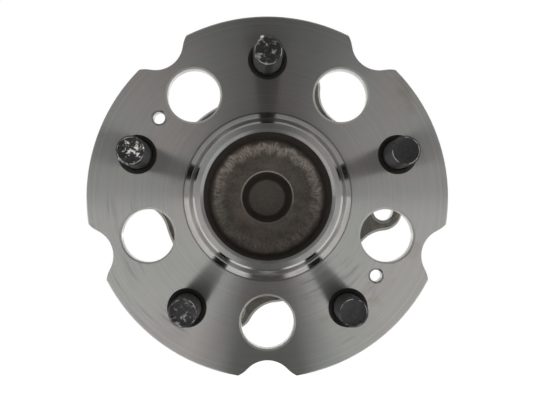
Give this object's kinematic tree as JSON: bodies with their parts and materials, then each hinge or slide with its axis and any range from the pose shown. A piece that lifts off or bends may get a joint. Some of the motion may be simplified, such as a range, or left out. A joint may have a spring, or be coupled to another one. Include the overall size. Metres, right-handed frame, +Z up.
{
  "type": "wheel hub bearing",
  "caption": "Non-driven wheel hub bearing: studded flange with a pilot, spinning on a sealed double-row ball bearing whose outer ring bolts to the knuckle by ears.",
  "frame": {"origin": "on the bearing's axis, in the plane where the outer ring's ears seat on the knuckle", "axes": "+Y along the bearing's axis towards the knuckle, -Y towards the wheel, +Z up"},
  "size_m": [0.151, 0.1, 0.15],
  "materials": {
    "hub_steel": "forged steel, faces turned bright",
    "forged_steel": "forged steel with scale, seats machined",
    "stud_phosphate": "black phosphate, rolled thread",
    "bearing_steel": "ground",
    "ball_steel": "polished",
    "pressed_steel": "pressed sheet",
    "cap_steel": "stainless sheet, drawn",
    "seal_rubber": "moulded",
    "encoder_rubber": "magnetised rubber",
    "cage_polyamide": "glass-filled polyamide"
  },
  "bodies": {
    "knuckle_side": {"outer_ring": "forged_steel", "outboard_seal_case": "pressed_steel", "outboard_seal_lips": "seal_rubber", "dust_cap": "cap_steel"},
    "wheel_side": {"hub_flange": "hub_steel", "inner_ring": "bearing_steel", "encoder_slinger": "pressed_steel", "encoder_magnet_ring": "encoder_rubber", "wheel_stud_1": "stud_phosphate", "wheel_stud_2": "stud_phosphate", "wheel_stud_3": "stud_phosphate", "wheel_stud_4": "stud_phosphate", "wheel_stud_5": "stud_phosphate"},
    "outboard_ball_set": {"outboard_cage": "cage_polyamide", "outboard_ball_01": "ball_steel", "outboard_ball_02": "ball_steel", "outboard_ball_03": "ball_steel", "outboard_ball_04": "ball_steel", "outboard_ball_05": "ball_steel", "outboard_ball_06": "ball_steel", "outboard_ball_07": "ball_steel", "outboard_ball_08": "ball_steel", "outboard_ball_09": "ball_steel", "outboard_ball_10": "ball_steel", "outboard_ball_11": "ball_steel", "outboard_ball_12": "ball_steel", "outboard_ball_13": "ball_steel"},
    "inboard_ball_set": {"inboard_cage": "cage_polyamide", "inboard_ball_01": "ball_steel", "inboard_ball_02": "ball_steel", "inboard_ball_03": "ball_steel", "inboard_ball_04": "ball_steel", "inboard_ball_05": "ball_steel", "inboard_ball_06": "ball_steel", "inboard_ball_07": "ball_steel", "inboard_ball_08": "ball_steel", "inboard_ball_09": "ball_steel", "inboard_ball_10": "ball_steel", "inboard_ball_11": "ball_steel", "inboard_ball_12": "ball_steel", "inboard_ball_13": "ball_steel"}
  },
  "joints": [
    {"name": "hub_spin", "type": "hinge", "parent": "knuckle_side", "child": "wheel_side", "pos_m": [0, 0, 0], "axis": [0, 1, 0], "continuous": true},
    {"name": "outboard_cage_spin", "type": "hinge", "parent": "knuckle_side", "child": "outboard_ball_set", "pos_m": [0, -0.022, 0], "axis": [0, 1, 0], "continuous": true},
    {"name": "inboard_cage_spin", "type": "hinge", "parent": "knuckle_side", "child": "inboard_ball_set", "pos_m": [0, 0.002, 0], "axis": [0, 1, 0], "continuous": true}
  ],
  "couplings": [
    {"joint": "outboard_cage_spin", "follows": "hub_spin", "ratio": 0.42154},
    {"joint": "inboard_cage_spin", "follows": "hub_spin", "ratio": 0.42154}
  ]
}
